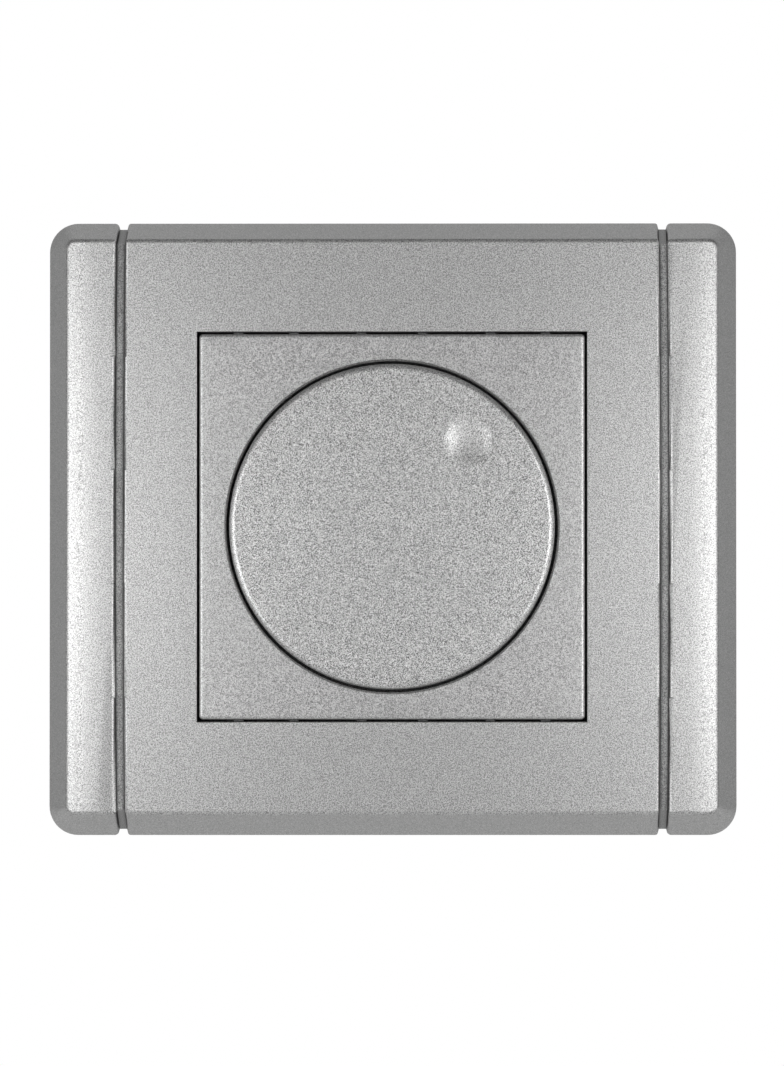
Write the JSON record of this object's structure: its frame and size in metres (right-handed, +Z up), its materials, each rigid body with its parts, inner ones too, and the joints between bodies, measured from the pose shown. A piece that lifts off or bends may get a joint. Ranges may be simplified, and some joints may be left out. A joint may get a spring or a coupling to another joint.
{
  "type": "rotary dimmer switch",
  "caption": "Flush wall dimmer: wide grooved cover frame, square centre plate and a round knob that turns to dim and pushes to switch, on a strap-mounted housing with claws.",
  "frame": {"origin": "centre of the mounting strap's back face, in the wall plane", "axes": "-Y out of the wall towards the user, +X to the right seen from the front, +Z up"},
  "size_m": [0.09, 0.0359, 0.0802],
  "materials": {
    "silver_lacquer": "silver metallic lacquer on moulded plastic",
    "moulded_grey": "fine moulded texture",
    "moulded_black": "moulded",
    "moulded_white": "moulded",
    "phenolic": "pressed board",
    "zinc_steel": "bright zinc plating",
    "spring_steel": "drawn",
    "tinned_metal": "tinned",
    "brass": "turned",
    "board_green": "solder resist",
    "sink_aluminium": "rolled",
    "iron_powder": "coated",
    "copper_wire": "enamelled",
    "capacitor_yellow": "glossy box",
    "capacitor_red": "glossy box",
    "resistor_blue": "lacquered"
  },
  "bodies": {
    "base": {"cover_frame": "silver_lacquer", "centre_plate": "silver_lacquer", "threaded_bush": "brass", "bush_washer": "zinc_steel", "bush_nut": "zinc_steel", "mounting_strap": "zinc_steel", "strap_screws": "zinc_steel", "housing": "moulded_grey", "rear_cover": "moulded_black", "cover_screws": "zinc_steel", "control_case": "zinc_steel", "track_disc": "phenolic", "track_pins": "tinned_metal", "switch_case": "moulded_black", "fixed_contacts": "brass", "return_spring": "spring_steel", "circuit_board": "board_green", "heat_sink": "sink_aluminium", "triac": "moulded_black", "triac_screw": "zinc_steel", "choke_core": "iron_powder", "choke_winding": "copper_wire", "suppression_capacitor": "capacitor_yellow", "fuse": "moulded_black", "resistors": "resistor_blue", "diac": "resistor_blue", "timing_capacitor": "capacitor_red", "terminal_block": "moulded_grey", "terminal_clamps": "brass", "terminal_screws": "zinc_steel"},
    "plunger": {"switch_plunger": "moulded_white", "contact_bridge": "brass"},
    "dial": {"knob": "silver_lacquer", "hub_clip": "spring_steel", "control_shaft": "moulded_black", "shaft_circlip": "spring_steel"},
    "wiper": {"wiper_carrier": "moulded_white", "wiper_contact": "brass"},
    "right_claw": {"claw_right": "zinc_steel"},
    "left_claw": {"claw_left": "zinc_steel"},
    "right_claw_screw": {"claw_screw_right": "zinc_steel"},
    "left_claw_screw": {"claw_screw_left": "zinc_steel"},
    "right_claw_nut": {"claw_nut_right": "zinc_steel"},
    "left_claw_nut": {"claw_nut_left": "zinc_steel"}
  },
  "joints": [
    {"name": "knob_push", "type": "slide", "parent": "base", "child": "plunger", "axis": [0, 1, 0], "range_m": [0, 0.001], "stiffness_N_per_m": 1500, "springref_m": -0.001, "deforming": ["return_spring"]},
    {"name": "knob_turn", "type": "hinge", "parent": "plunger", "child": "dial", "pos_m": [0, 0, 0], "axis": [0, 1, 0], "range_deg": [-177, 93]},
    {"name": "wiper_turn", "type": "hinge", "parent": "base", "child": "wiper", "pos_m": [0, 0.006, 0], "axis": [0, 1, 0], "range_deg": [-177, 93]},
    {"name": "right_claw_screw_turn", "type": "hinge", "parent": "base", "child": "right_claw_screw", "pos_m": [0.0194, 0, 0], "axis": [0, 1, 0], "range_deg": [0, 2880]},
    {"name": "right_claw_nut_slide", "type": "slide", "parent": "base", "child": "right_claw_nut", "axis": [0, -1, 0], "range_m": [0, 0.0056]},
    {"name": "right_claw_swing", "type": "hinge", "parent": "base", "child": "right_claw", "pos_m": [0.018, 0.0018, 0], "axis": [0, 0, -1], "range_deg": [0, 19.5]},
    {"name": "left_claw_screw_turn", "type": "hinge", "parent": "base", "child": "left_claw_screw", "pos_m": [-0.0194, 0, 0], "axis": [0, 1, 0], "range_deg": [0, 2880]},
    {"name": "left_claw_nut_slide", "type": "slide", "parent": "base", "child": "left_claw_nut", "axis": [0, -1, 0], "range_m": [0, 0.0056]},
    {"name": "left_claw_swing", "type": "hinge", "parent": "base", "child": "left_claw", "pos_m": [-0.018, 0.0018, 0], "axis": [0, 0, 1], "range_deg": [0, 19.5]}
  ],
  "couplings": [
    {"joint": "wiper_turn", "follows": "knob_turn", "ratio": 1},
    {"joint": "right_claw_screw_turn", "follows": "right_claw_nut_slide", "rad_per_m": 8976},
    {"joint": "right_claw_swing", "follows": "right_claw_nut_slide", "rad_per_m": 60.774},
    {"joint": "left_claw_screw_turn", "follows": "left_claw_nut_slide", "rad_per_m": 8976},
    {"joint": "left_claw_swing", "follows": "left_claw_nut_slide", "rad_per_m": 60.774}
  ]
}
